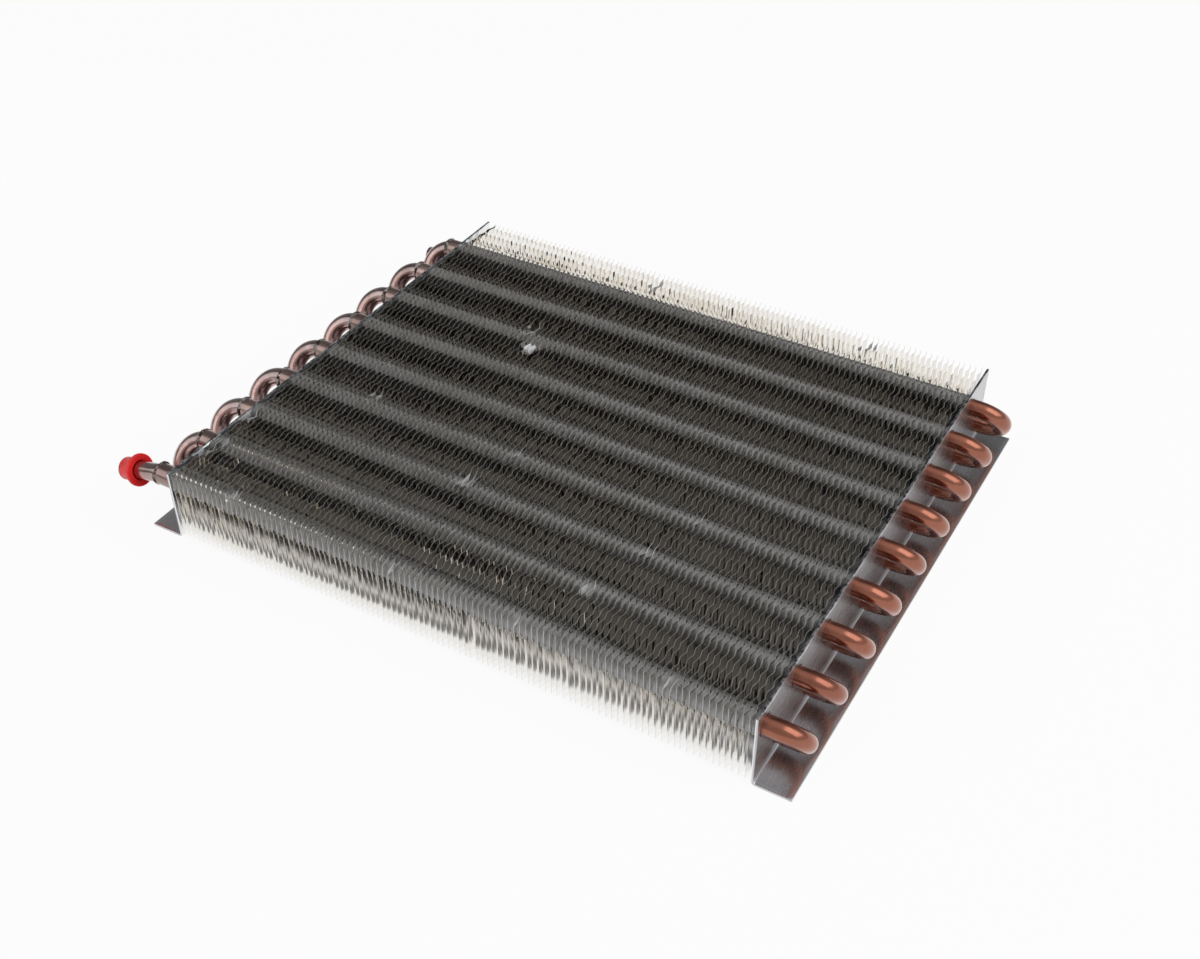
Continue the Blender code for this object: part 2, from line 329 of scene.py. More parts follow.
def makeCollarMetal():
    look = {
        "bright": (0.39, 0.39, 0.39), "dull": (0.31, 0.305, 0.30), "low": (0.24, 0.226, 0.21),
        "rough": (0.45, 0.58),
        "clear": (0.018, 0.024),  # heights between which the painted shade on the lower row ends
    }
    material, tree, shader, place = newFinish("drawnCollar")
    marks = useGroup(tree, patches, place, {"Size": 60.0, "Cover": 0.5, "Edge": 0.25})
    # the lower row of collars is painted darker: painted shade deep in the fin pack
    abovePaintedShade = span(tree, axes(tree, place)["Z"], 0.0, 1.0, *look["clear"])
    upper = blend(tree, marks.outputs["Mask"], look["bright"], look["dull"])
    wire(tree, blend(tree, abovePaintedShade, look["low"], upper), shader.inputs["Base Color"])
    wire(tree, span(tree, marks.outputs["Fine"], *look["rough"], *wideNoise), shader.inputs["Roughness"])
    shader.inputs["Metallic"].default_value = 0.7
    return material


def makeGalvanised():
    look = {
        "light": (0.64, 0.65, 0.675), "dark": (0.51, 0.51, 0.53),
        "stain": (0.46, 0.41, 0.385), "stained": 0.35,  # how far a full stain covers the zinc
        "inside": (0.88, 0.885, 0.90), "insideRough": 0.12,
        "insideDepth": sheet * 0.6,  # what lies further in from the outer faces belongs to the fin side
        "edge": (0.09, 0.09, 0.10), "edgeDepth": 0.0003,
        "rough": (0.23, 0.32),
    }
    material, tree, shader, place = newFinish("galvanisedSheet")
    spangle = addNode(tree, "ShaderNodeTexVoronoi", {"Scale": 110.0, "Randomness": 1.0})
    wire(tree, place, spangle.inputs["Vector"])
    marks = useGroup(tree, patches, place, {"Size": 22.0, "Cover": 0.55, "Edge": 0.2})
    lines = useGroup(tree, scratches, place, {"Stretch": (8.0, 0.35, 8.0), "Size": 260.0})
    grey = blend(tree, span(tree, spangle.outputs["Distance"], 0.2, 0.9, 0.0, 0.9), look["light"], look["dark"])
    outside = blend(tree, span(tree, marks.outputs["Mask"], 0.0, look["stained"]), grey, look["stain"])
    # the fin side of both plates is lighter and smoother
    where = axes(tree, place)
    finSide = calc(tree, "LESS_THAN", fromMiddle(tree, where["X"]), halfX - look["insideDepth"])
    colour = blend(tree, finSide, outside, look["inside"])
    # dirt speckles the sheet's cut edge along the top
    crumbs = useGroup(tree, patches, place, {"Size": 480.0, "Cover": 0.5, "Edge": 0.08})
    speckled = blend(tree, crumbs.outputs["Mask"], look["light"], look["edge"])
    onTop = calc(tree, "GREATER_THAN", where["Z"], plateTop - look["edgeDepth"])
    wire(tree, blend(tree, onTop, colour, speckled), shader.inputs["Base Color"])
    rough = addNode(tree, "ShaderNodeMix", {3: look["insideRough"]}, data_type="FLOAT")
    wire(tree, finSide, rough.inputs[0])
    wire(tree, span(tree, lines.outputs["Height"], *look["rough"], *narrowNoise), rough.inputs[2])
    wire(tree, rough.outputs[0], shader.inputs["Roughness"])
    shader.inputs["Metallic"].default_value = 0.95
    relief(tree, shader, lines.outputs["Height"], 0.015, 0.0002)
    return material


def makeCopper(name, look):
    material, tree, shader, place = newFinish(name)
    marks = useGroup(tree, patches, place, look["marks"])
    grain = useGroup(tree, scratches, place, {"Size": 300.0})
    colour = blend(tree, marks.outputs["Mask"], look["bright"], look["dark"])
    colour = blend(tree, span(tree, marks.outputs["Fine"], 0.0, look["bloom"], 0.45, 0.75), colour, look["third"])
    # the torch discoloured the metal, from clean at one place along an axis to fully tinted at the other
    axis, clean, tinted, light, dark = look["heat"]
    hot = span(tree, axes(tree, place)[axis], 0.0, 1.0, clean, tinted)
    colour = blend(tree, hot, colour, blend(tree, marks.outputs["Mask"], light, dark))
    wire(tree, colour, shader.inputs["Base Color"])
    wire(tree, span(tree, grain.outputs["Height"], *look["rough"], *narrowNoise), shader.inputs["Roughness"])
    shader.inputs["Metallic"].default_value = 1
    shader.inputs["Coat Weight"].default_value = look["film"]  # a thin clear film, white at a glancing angle
    shader.inputs["Coat Roughness"].default_value = 0.05
    relief(tree, shader, grain.outputs["Height"], 0.05, 0.0002)
    return material


def makeBraze():
    look = {"alloy": (0.68, 0.60, 0.56), "flux": (0.05, 0.034, 0.03), "rough": (0.22, 0.6)}
    material, tree, shader, place = newFinish("brazingAlloy")
    marks = useGroup(tree, patches, place, {"Size": 420.0, "Cover": 0.45, "Edge": 0.1})
    wire(tree, blend(tree, marks.outputs["Mask"], look["alloy"], look["flux"]), shader.inputs["Base Color"])
    wire(tree, span(tree, marks.outputs["Mask"], *look["rough"]), shader.inputs["Roughness"])
    shader.inputs["Metallic"].default_value = 0.85
    relief(tree, shader, marks.outputs["Fine"], 0.5, 0.0004)
    return material


def makePlastic():
    look = {"red": (0.90, 0.022, 0.024), "deep": (0.78, 0.014, 0.016), "rough": (0.30, 0.46)}
    material, tree, shader, place = newFinish("redPlastic")
    marks = useGroup(tree, patches, place, {"Size": 160.0, "Cover": 0.55, "Edge": 0.25})
    wire(tree, blend(tree, marks.outputs["Mask"], look["red"], look["deep"]), shader.inputs["Base Color"])
    wire(tree, span(tree, marks.outputs["Fine"], *look["rough"], *narrowNoise), shader.inputs["Roughness"])
    shader.inputs["Subsurface Weight"].default_value = 0.12
    shader.inputs["Subsurface Radius"].default_value = (0.002, 0.0004, 0.0003)
    relief(tree, shader, marks.outputs["Fine"], 0.15, 0.0002)
    return material


aluminium, cutEdgeAndGlint, collarMetal = makeAluminium(), makeCutAluminium(), makeCollarMetal()
galvanised = makeGalvanised()
drawnCopper = makeCopper("drawnCopper", {
    "bright": (0.355, 0.124, 0.073), "dark": (0.275, 0.092, 0.055), "third": (0.25, 0.074, 0.042),
    "bloom": 0.3, "film": 0.6, "rough": (0.22, 0.28),
    "heat": ("X", leftFace + 0.012, leftFace, (0.36, 0.25, 0.226), (0.19, 0.124, 0.112)),
    "marks": {"Size": 60.0, "Cover": 0.55, "Edge": 0.2},
})
brazedCopper = makeCopper("brazedCopper", {
    "bright": (0.54, 0.365, 0.338), "dark": (0.34, 0.215, 0.196), "third": (0.27, 0.13, 0.108),
    "bloom": 0.4, "film": 0.5, "rough": (0.15, 0.27),
    "heat": ("Z", 0.0275, 0.036, (0.38, 0.325, 0.32), (0.22, 0.175, 0.17)),
    "marks": {"Size": 90.0, "Cover": 0.5, "Edge": 0.15},
})
brazingAlloy = makeBraze()
redPlastic = makePlastic()
print("finishes made")


# end plates
plates = {
    "holeRadius": 0.00500,
    "cellSides": 10,  # quads along each side of a cell
    "rings": 4,  # quads from a hole out to its cell's edge
    "crowding": 1.4,  # above 1 the rings are narrow near the hole
    "bendRadius": 0.0014,
    "bendSteps": 8,
    "flange": 0.018,
    "flangeRows": 5,
    "bevel": 0.00012,
}


def plateCell(y0, z0, y1, z1, hole):
    # from a round hole out to a rectangle, rim + (edge - rim) * share along each ray; without a hole an even grid
    sides, rings = plates["cellSides"], plates["rings"]
    if hole is None:
        across, up = np.meshgrid(np.linspace(y0, y1, sides + 1), np.linspace(z0, z1, sides + 1))
        return np.stack([across, up], -1).reshape(-1, 2), gridFaces(sides + 1, sides + 1)
    t = np.arange(sides) / sides
    edge = np.concatenate([
        np.stack([y0 + (y1 - y0) * t, np.full(sides, z0)], 1),
        np.stack([np.full(sides, y1), z0 + (z1 - z0) * t], 1),
        np.stack([y1 - (y1 - y0) * t, np.full(sides, z1)], 1),
        np.stack([np.full(sides, y0), z1 - (z1 - z0) * t], 1)])
    share = (np.arange(rings + 1) / rings)[:, None, None] ** plates["crowding"]
    away = edge - hole
    rim = hole + plates["holeRadius"] * away / np.linalg.norm(away, axis=1)[:, None]
    return (rim + (edge - rim) * share).reshape(-1, 2), gridFaces(rings + 1, 4 * sides, False, True)


def endPlate(name, node, outerFace, outwards):
    # flat cells side by side, then the sheet's lower part is carried round a quarter turn and out along the flange
    sides, bendSteps, flangeRows = plates["cellSides"], plates["bendSteps"], plates["flangeRows"]
    half = tubes["pitch"] / 2
    middle = (tubes["upper"] + tubes["lower"]) / 2
    fold = sheet + plates["bendRadius"]  # height at which the sheet's fin side starts to turn
    # heights from 0 to -1 stand for the bend, from -1 to -2 for the flange
    strip = np.concatenate([-np.arange(bendSteps + 1) / bendSteps, -1 - np.arange(1, flangeRows + 1) / flangeRows])
    points, faces, count = [], [], 0
    for n in range(2 * tubes["columns"]):
        y0, y1 = frontEdge + n * half, frontEdge + (n + 1) * half
        cells = []
        for row, z0, z1, z in ((0, middle, plateTop, tubes["upper"]), (1, fold, middle, tubes["lower"])):
            hole = np.array([(y0 + y1) / 2, z]) if n % 2 == row else None
            cells.append(plateCell(y0, z0, y1, z1, hole))
        across, down = np.meshgrid(np.linspace(y0, y1, sides + 1), strip)
        cells.append((np.stack([across, down], -1).reshape(-1, 2), gridFaces(len(strip), sides + 1)))
        for cell, quads in cells:
            points.append(cell)
            faces.append(quads + count)
            count += len(cell)
    y, s = np.concatenate(points).T
    bend = np.clip(-s, 0, 1) * math.pi / 2
    out = fold * (1 - np.cos(bend)) + np.clip(-s - 1, 0, 1) * (plates["flange"] - fold + sheet)
    x = outerFace - outwards * sheet + outwards * np.where(s > 0, 0, out)
    z = np.where(s > 0, s, fold * (1 - np.sin(bend)))
    points, faces = np.stack([x, y, z], 1), np.concatenate(faces)
    a, b, c = (points[faces[:, n]] for n in range(3))
    normal = np.cross(b - a, c - a)
    flip = normal[:, 0] * outwards + normal[:, 2] > 0  # the given side is the fin side and the underside
    faces[flip] = faces[flip][:, ::-1]
    piece = putMesh(name, points, faces, galvanised, merge=True)
    solid = piece.modifiers.new("sheet", "SOLIDIFY")
    solid.thickness, solid.offset, solid.use_even_offset = sheet, -1, True
    bevel = piece.modifiers.new("cutEdges", "BEVEL")
    bevel.width, bevel.segments = plates["bevel"], 2
    bevel.limit_method, bevel.angle_limit = "ANGLE", math.radians(50)
    standFor(piece, "end_plates", node)


endPlate("left_plate_sheet", "left_end_plate", leftFace, -1)
endPlate("right_plate_sheet", "right_end_plate", rightFace, 1)
print("end plates made")


# hairpins, return bends and stubs
def bellRadius(distance):
    # tube radius inside the plate, smoothly widening to the bell over the shoulder; distance is out from the plate
    t = np.clip((distance - tubes["bellStart"]) / tubes["shoulder"], 0, 1)
    return tubes["radius"] + (tubes["bellRadius"] - tubes["radius"]) * t * t * (3 - 2 * t)


def alongX(x):
    return np.stack([x, 0 * x, 0 * x], 1)


def halfTurn(start, end, outwards):
    # half circle from start to end: centre - across * cos a + outwards * sin a
    centre, across = (start + end) / 2, (end - start) / 2
    a = np.linspace(0, math.pi, tubes["turnSteps"])[:, None]
    return centre - across * np.cos(a) + np.array([outwards, 0.0, 0.0]) * np.linalg.norm(across) * np.sin(a)


def bentTube(name, first, last, legs, legRadii, turnX, outwards, material):
    # in along one leg, half a turn from turnX, and back along the other; first and last are the legs' y and z
    first, last, start = np.array([0, *first]), np.array([0, *last]), np.array([turnX, 0, 0])
    turn = halfTurn(first + start, last + start, outwards)
    path = np.concatenate([first + alongX(legs), turn, (last + alongX(legs))[::-1]])
    radii = np.concatenate([legRadii, np.full(len(turn), tubes["radius"]), legRadii[::-1]])
    return hollowTube(name, path, np.cross(last - first, (1.0, 0, 0)), radii, material)


# where the legs have their rings, closest at a bell's mouth and along its shoulder
legRings = {
    "mouth": (0.0, 0.00015, 0.0008),  # distances from the mouth
    "bell": (0.004, 0.001, 3),  # first from the mouth, last from the shoulder, how many
    "shoulder": 8,
    "between": (0.02, 0.004, 4),  # first from the left plate, last from the right plate, how many
    "beyond": 0.0015,  # outside the right plate
    "socket": (0.001, 4),  # a return bend's last from the mouth, how many
}


def makeHairpin(n):
    reach, bellStart = tubes["bellReach"], tubes["bellStart"]
    shoulderEnd = bellStart + tubes["shoulder"]
    first, last, count = legRings["bell"]
    bell = np.concatenate([
        reach - np.array(legRings["mouth"]),
        np.linspace(reach - first, shoulderEnd + last, count),
        np.linspace(shoulderEnd, bellStart, legRings["shoulder"]), [0]])
    first, last, count = legRings["between"]
    between = np.linspace(leftFace + first, rightFace - last, count)
    legs = np.concatenate([leftFace - bell, between, [rightFace, rightFace + legRings["beyond"]]])
    piece = bentTube(
        f"drawn_hairpin_{n + 1}", (upperY[n], tubes["upper"]), (lowerY[n], tubes["lower"]),
        legs, bellRadius(leftFace - legs), rightFace + tubes["straight"], 1, drawnCopper)
    standFor(piece, "hairpins", f"hairpin_{n + 1}")


# how much deeper each return bend sits in its bells
seating = (0.0029, 0.0, -0.0005, 0.0003, 0.0004, -0.0004, 0.0001, 0.0031)


def makeReturnBend(n):
    mouth = leftFace - tubes["bellReach"] + seating[n]
    last, count = legRings["socket"]
    legs = mouth + np.linspace(tubes["socket"], last, count)
    piece = bentTube(
        f"brazed_bend_{n + 1}", (lowerY[n], tubes["lower"]), (upperY[n + 1], tubes["upper"]),
        legs, np.full(len(legs), tubes["radius"]), mouth, -1, brazedCopper)
    standFor(piece, "return_bends", f"return_bend_{n + 1}")


def makeStub(name, node, path):
    piece = hollowTube(name, path, (0, 1.0, 0), np.full(len(path), tubes["radius"]), brazedCopper)
    standFor(piece, "stubs", node)


for n in range(tubes["columns"]):
    makeHairpin(n)
for n in range(tubes["columns"] - 1):
    makeReturnBend(n)

stub = {
    "beyond": 0.025,  # bell mouth to the inlet's end
    "drop": math.radians(15),  # slope of the inlet outside its bell
    "ring": 0.003,  # the rings next to the mouth, inside and outside
    "outletReach": 0.041,  # plate to the outlet's end
    "inletRings": 8,  # outside the bell
    "outletRings": 10,
}
inletMouth = np.array([leftFace - tubes["bellReach"], upperY[0], tubes["upper"]])
inletWay = np.array([-math.cos(stub["drop"]), 0, -math.sin(stub["drop"])])
inBell = alongX(np.array([tubes["socket"], stub["ring"], 0.0]))
outOfBell = np.linspace(stub["ring"], stub["beyond"], stub["inletRings"])[:, None] * inletWay
makeStub("inlet_tube", "inlet_stub", inletMouth + np.concatenate([inBell, outOfBell]))
run = leftFace + np.linspace(-tubes["bellReach"] + tubes["socket"], -stub["outletReach"], stub["outletRings"])
makeStub("outlet_tube", "outlet_stub", alongX(run) + np.array([0, lowerY[-1], tubes["lower"]]))
print("tubes made")


# brazed joints
braze = {
    "bead": 0.00100,  # radius of the bead
    "ring": 0.00510,  # radius of the ring it lies on
    "long": 1.15,  # length along the tube for each unit of height
    "sides": 40,
    "steps": 10,
    "uneven": 0.35,
    "calming": 1.6,  # takes the sum of the three sines back to about 1
    "upperSeed": 11,
    "lowerSeed": 41,
}


def makeBead(name, y, z, seed):
    # a bead round the bell's mouth: a small circle turned about the tube, thicker and thinner as three sines say
    dice = np.random.default_rng(seed)
    phase, size = dice.uniform(0, 2 * math.pi, 3), dice.uniform(0.3, 1.0, 3)

    def wobble(turn, along, radius):
        waves = sum(s * np.sin((k + 1) * turn + p) for k, (s, p) in enumerate(zip(size, phase)))
        swell = 1 + braze["uneven"] * waves / braze["calming"]
        return along * swell, braze["ring"] + (radius - braze["ring"]) * swell

    a = np.linspace(0, 2 * math.pi, braze["steps"], endpoint=False)
    profile = np.stack([braze["bead"] * braze["long"] * np.cos(a), braze["ring"] + braze["bead"] * np.sin(a)], 1)
    mouth = (leftFace - tubes["bellReach"], y, z)
    piece = turned(name, profile, mouth, (-1, 0, 0), braze["sides"], brazingAlloy, wobble=wobble)
    standFor(piece, "return_bends")


for n in range(tubes["columns"]):
    makeBead(f"braze_upper_{n + 1}", upperY[n], tubes["upper"], braze["upperSeed"] + n)
    makeBead(f"braze_lower_{n + 1}", lowerY[n], tubes["lower"], braze["lowerSeed"] + n)
print("brazed joints made")


# inlet cap
cap = {
    "wall": 0.0009,
    "bore": 0.00506,
    "length": 0.0105,
    "flange": 0.0085,
    "flangeThick": 0.0016,
    "edge": 0.0007,  # rounding of the closed end
    "rim": 0.0005,  # rounding of the flange
    "root": 0.0004,  # the corner between body and flange
    "mouth": 0.0003,
    "gap": 0.0003,  # from the stub's end to the inside of the closed end
    "sides": 48,
}


def capProfile():
    # closed section from the far end's middle round the outside, over the flange and back up the bore
    bore, length, thick = cap["bore"], cap["length"], cap["flangeThick"]
    body, edge, rim, flange = bore + cap["wall"], cap["edge"], cap["rim"], cap["flange"]
    a, b = np.linspace(0, math.pi / 2, 6), np.linspace(0, math.pi / 2, 5)
    corner = np.stack([length - edge + edge * np.cos(a), body - edge + edge * np.sin(a)], 1)
    root = [(thick + cap["root"], body), (thick, body + cap["root"])]
    rimBack = np.stack([thick - rim + rim * np.cos(b), flange - rim + rim * np.sin(b)], 1)
    rimFront = np.stack([rim - rim * np.sin(b), flange - rim + rim * np.cos(b)], 1)
    mouth = [(0.0, bore + cap["mouth"]), (cap["mouth"], bore)]
    inside = [(length - cap["wall"], bore), (length - cap["wall"], 0.0)]
    return np.concatenate([[(length, 0.0)], corner, root, rimBack, rimFront, mouth, inside])


capStart = stub["beyond"] + cap["gap"] + cap["wall"] - cap["length"]
inletCap = turned(
    "inlet_cap_shell", capProfile(), inletMouth + capStart * inletWay, inletWay, cap["sides"], redPlastic,
    smoothAngle=50, closed=False)
standFor(inletCap, "cap", "inlet_cap")
print("cap made")


# fins
fins = {
    "count": 102,
    "pitch": 0.0031,
    "solid": 0.0002,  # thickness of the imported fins, which stand a little thicker than the sheet
    "thick": 0.00015,
    "bottom": 0.0025,
    "top": 0.0405,
    "inset": 0.0004,  # from the plates' front and back edges
    "waves": 4,  # to a tube pitch
    "ripple": 0.00043,  # half the height of the waves
    "kink": 0.0004,  # half the flat width at each crest
    "closest": 0.0002,  # columns closer to the front and back edges are left out
    "hole": 0.0043,  # half the height of the opening at a tube, and half its width below
    "holeAcross": 0.0044,
    "clear": 0.0066,  # a row of points this far inwards of each row of tubes
    "topRow": 0.0022,  # and one this far below the top
    "flat": 0.0056,  # the sheet is flat this far round a tube
    "fade": 0.0008,
    "perPiece": 17,
    "shift": 0.00006,  # spread of the sheets' places, of their lean and of their bow
    "lean": 0.0035,
    "leanHeight": 0.02,
    "bow": 0.00010,
    "bowLengths": (0.29, 0.11, 0.047),
    "bowHeld": (0.009, 0.3),  # the tubes hold the bow back: full at this distance, never below this share
    "glintDepth": 0.0045,  # how far down from the top a knock gets the cut-edge finish as a painted glint
    "glintShare": 0.55,  # and how near its middle, 1 being the middle
}
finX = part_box("fin_pack")[0].x + fins["solid"] / 2 + fins["pitch"] * np.arange(fins["count"])

# the loose back corner of the first sheet: reach from the back edge, push in x, and the heights over which it starts
corner = {"reach": 0.027, "push": 0.0032, "bottom": 0.012, "rise": 0.02, "curl": 1.5, "sheets": 0.6}

# knocks in the fins: x and y from the coil's front left corner, reach in x and y, depth from the top, push in x, press down
dents = [
    (0.0876, 0.200, 0.0022, 0.0050, 0.005, 0.0022, 0.0012),
    (0.0953, 0.1844, 0.0045, 0.0055, 0.005, -0.0016, 0.0014),
    (0.1298, 0.0710, 0.0040, 0.0050, 0.005, 0.0018, 0.0012),
    (0.2309, 0.0700, 0.0040, 0.0045, 0.004, 0.0013, 0.0008),
    (0.2198, 0.0344, 0.0035, 0.0050, 0.004, 0.0014, 0.0009),
    (0.1240, 0.2756, 0.0030, 0.0060, 0.005, 0.0012, 0.0010),
    (0.2560, 0.2778, 0.0040, 0.0060, 0.005, 0.0012, 0.0010),
    (0.1398, 0.1020, 0.0020, 0.0040, 0.003, 0.0009, 0.0006),
    (0.2410, 0.1020, 0.0025, 0.0040, 0.003, 0.0009, 0.0006),
    (0.0500, 0.1056, 0.0020, 0.0030, 0.003, 0.0010, 0.0006),
    (0.1330, 0.0000, 0.0030, 0.0040, 0.006, 0.0020, 0.0010),
    (0.2020, 0.0000, 0.0028, 0.0040, 0.006, 0.0020, 0.0010),
    (0.2776, 0.0000, 0.0028, 0.0040, 0.006, 0.0020, 0.0010),
    (0.0387, 0.0056, 0.0025, 0.0040, 0.006, 0.0022, 0.0012),
    (0.0030, 0.0595, 0.0030, 0.0040, 0.005, 0.0016, 0.0012),
    (0.0060, 0.0330, 0.0030, 0.0040, 0.005, 0.0014, 0.0012),
    (0.0030, 0.0260, 0.0026, 0.0040, 0.005, 0.0018, 0.0012),
]


def finGrid():
    # columns at the flats of every crest and valley, rows at the tube holes and near the edges
    wave = tubes["pitch"] / fins["waves"]
    front, back = frontEdge + fins["inset"], backEdge - fins["inset"]
    count = np.arange(-1, fins["waves"] * tubes["columns"] + 1)[:, None]
    steps = count * wave + frontEdge + np.array([0, wave / 2])[None, :]
    y = np.sort((steps[..., None] + np.array([-fins["kink"], fins["kink"]])).ravel())
    crest = np.where(np.round((y - frontEdge) / (wave / 2)).astype(int) % 2 == 0, -1.0, 1.0)
    keep = (y > front + fins["closest"]) & (y < back - fins["closest"])
    ends = np.interp([front, back], y, crest)
    y, crest = np.concatenate([[front], y[keep], [back]]), np.concatenate([[ends[0]], crest[keep], [ends[1]]])
    lower, upper, hole, clear = tubes["lower"], tubes["upper"], fins["hole"], fins["clear"]
    z = [fins["bottom"], lower - hole, lower + hole, lower + clear,
         upper - clear, upper - hole, upper + hole, fins["top"] - fins["topRow"], fins["top"]]
    return y, crest, np.array(z)


def nearDent(dent, x, y):
    # 1 at the knock's middle, falling as exp(-d * d) along both axes
    dx, dy, reachX, reachY = dent[:4]
    return np.exp(-((x - leftFace - dx) / reachX) ** 2) * np.exp(-((y - frontEdge - dy) / reachY) ** 2)


def finSheets():
    # x = place + ripple(y) away from the tubes + lean(z) + bow(y) + knocks; both skins are half a thickness off
    y, crest, z = finGrid()
    size = len(y) * len(z)
    gridZ, gridY = np.meshgrid(z, y, indexing="ij")
    centres = [(c, tubes["upper"]) for c in upperY] + [(c, tubes["lower"]) for c in lowerY]
    away = np.min([np.hypot(gridY - cy, gridZ - cz) for cy, cz in centres], axis=0)
    rippled = np.clip((away - fins["flat"]) / fins["fade"], 0, 1)
    rippled = rippled * rippled * (3 - 2 * rippled)
    quads = gridFaces(len(z), len(y))
    midY, midZ = gridY.ravel()[quads].mean(1), gridZ.ravel()[quads].mean(1)
    inHole = [(abs(midY - cy) < fins["holeAcross"]) & (abs(midZ - cz) < fins["hole"]) for cy, cz in centres]
    kept = ~np.any(inHole, axis=0)
    quads, midY, midZ = quads[kept], midY[kept], midZ[kept]
    # edges that belong to one quad only are the rim that joins the two skins
    edges = np.concatenate([quads[:, [a, (a + 1) % 4]] for a in range(4)])
    keys = np.sort(edges, axis=1)
    _, first, times = np.unique(keys[:, 0] * size + keys[:, 1], return_index=True, return_counts=True)
    start, end = edges[first[times == 1]].T
    one = np.concatenate([quads[:, ::-1], quads + size, np.stack([start, end, end + size, start + size], 1)])

    dice = np.random.default_rng(7)
    place = finX + dice.normal(0, fins["shift"], fins["count"])
    lean = dice.normal(0, fins["lean"], fins["count"])[:, None, None]
    bow = 0
    for length in fins["bowLengths"]:
        height = dice.normal(0, fins["bow"], fins["count"])[:, None, None]
        phase = dice.uniform(0, 6.3, fins["count"])[:, None, None]
        bow = bow + height * np.sin(gridY * 2 * math.pi / length + phase)
    freeAt, leastShare = fins["bowHeld"]
    x = place[:, None, None] + fins["ripple"] * crest * rippled
    x = x + lean * (gridZ - fins["leanHeight"]) + bow * np.clip(away / freeAt, leastShare, 1)
    down = np.zeros_like(x)
    for dent in dents:
        depth, push, press = dent[4:]
        near = nearDent(dent, place[:, None, None], gridY)
        high = np.clip((gridZ - fins["top"] + depth) / depth, 0, 1)
        x += push * near * high * high
        down -= press * near * high
    loose = np.clip((gridY - (backEdge - corner["reach"])) / corner["reach"], 0, 1) ** corner["curl"]
    loose = loose * np.clip((gridZ - corner["bottom"]) / corner["rise"], 0, 1)
    x += np.exp(-(np.arange(fins["count"]) / corner["sheets"]) ** 2)[:, None, None] * corner["push"] * loose
    full, half = np.broadcast_to(gridY, x.shape), fins["thick"] / 2
    skins = np.stack([np.stack([x + side, full, gridZ + down], -1) for side in (-half, half)], 1)
    # cut-edge finish: the sheared edges of every sheet, and a painted glint on the top of the sheets where a knock hit
    # them
    cutOrGlint = np.zeros((fins["count"], len(one)), bool)
    cutOrGlint[:, 2 * len(quads):] = True
    for dent in dents:
        near = nearDent(dent, place[:, None], midY)
        cutOrGlint[:, :2 * len(quads)] |= np.tile((near > fins["glintShare"]) & (midZ > fins["top"] - fins["glintDepth"]), 2)
    return skins.reshape(fins["count"], 2 * size, 3), one, cutOrGlint


finPoints, finFaces, finCutOrGlint = finSheets()
a, b, c = finPoints[0][finFaces[0, :3]]
if np.cross(b - a, c - a)[0] > 0:  # the first skin faces -X
    finFaces = finFaces[:, ::-1]
for start in range(0, fins["count"], fins["perPiece"]):
    block = finPoints[start:start + fins["perPiece"]]
    faces = (finFaces[None] + (np.arange(len(block)) * finPoints.shape[1])[:, None, None]).reshape(-1, 4)
    piece = putMesh(f"fins_{start // fins['perPiece'] + 1}", block, faces, aluminium, smoothAngle=5)
    piece.data.materials.append(cutEdgeAndGlint)
    # the cut-edge finish also paints glints at the knocks
    isCutOrGlint = finCutOrGlint[start:start + fins["perPiece"]].ravel().astype(np.int32)
    piece.data.polygons.foreach_set("material_index", isCutOrGlint)
    standFor(piece, "fins", "fin_pack")
print("fins made,", len(finFaces) * 2 * fins["count"], "triangles")


# fin collars, stacked round the tubes
collars = {
    "radius": 0.00590,
    "flare": 0.0064,
    "inner": 0.00480,
    "sides": 14,
    "finGap": 0.00008,
    "neck": 0.0009,  # from a fin to where the collar runs straight
    "plateGap": 0.0001,
}


def makeCollars(name, places, height):
    # one sleeve for each tube: the section widens at every fin and runs straight to the next
    sides, radius = collars["sides"], collars["radius"]
    start = leftFace + sheet + collars["plateGap"]
    offsets = np.array([collars["finGap"], collars["neck"], fins["pitch"] - collars["finGap"]])
    along = (finX[:, None] + offsets).ravel()
    along[-1] = min(along[-1], rightFace - sheet - collars["plateGap"])
    along = np.concatenate([[start], along, along[[-1]], [start]])
    stack = [collars["flare"], radius, radius] * fins["count"]
    section = np.array([radius, *stack, collars["inner"], collars["inner"]])[:, None]
    turn = np.linspace(0, 2 * math.pi, sides, endpoint=False) + math.pi / sides
    ringY, ringZ = section * np.cos(turn), height + section * np.sin(turn)
    ringX = np.broadcast_to(along[:, None], ringY.shape)
    points, faces = [], []
    quads = gridFaces(len(along), sides, True, True)
    for y in places:
        sleeve = np.stack([ringX, y + ringY, ringZ], -1).reshape(-1, 3)
        faces.append(facingOut(sleeve - sleeve.mean(0), quads) + len(points) * len(sleeve))
        points.append(sleeve)
    piece = putMesh(name, np.concatenate(points), np.concatenate(faces), collarMetal, smoothAngle=70)
    standFor(piece, "fins")


makeCollars("collars_upper", upperY, tubes["upper"])
makeCollars("collars_lower", lowerY, tubes["lower"])
print("collars made")


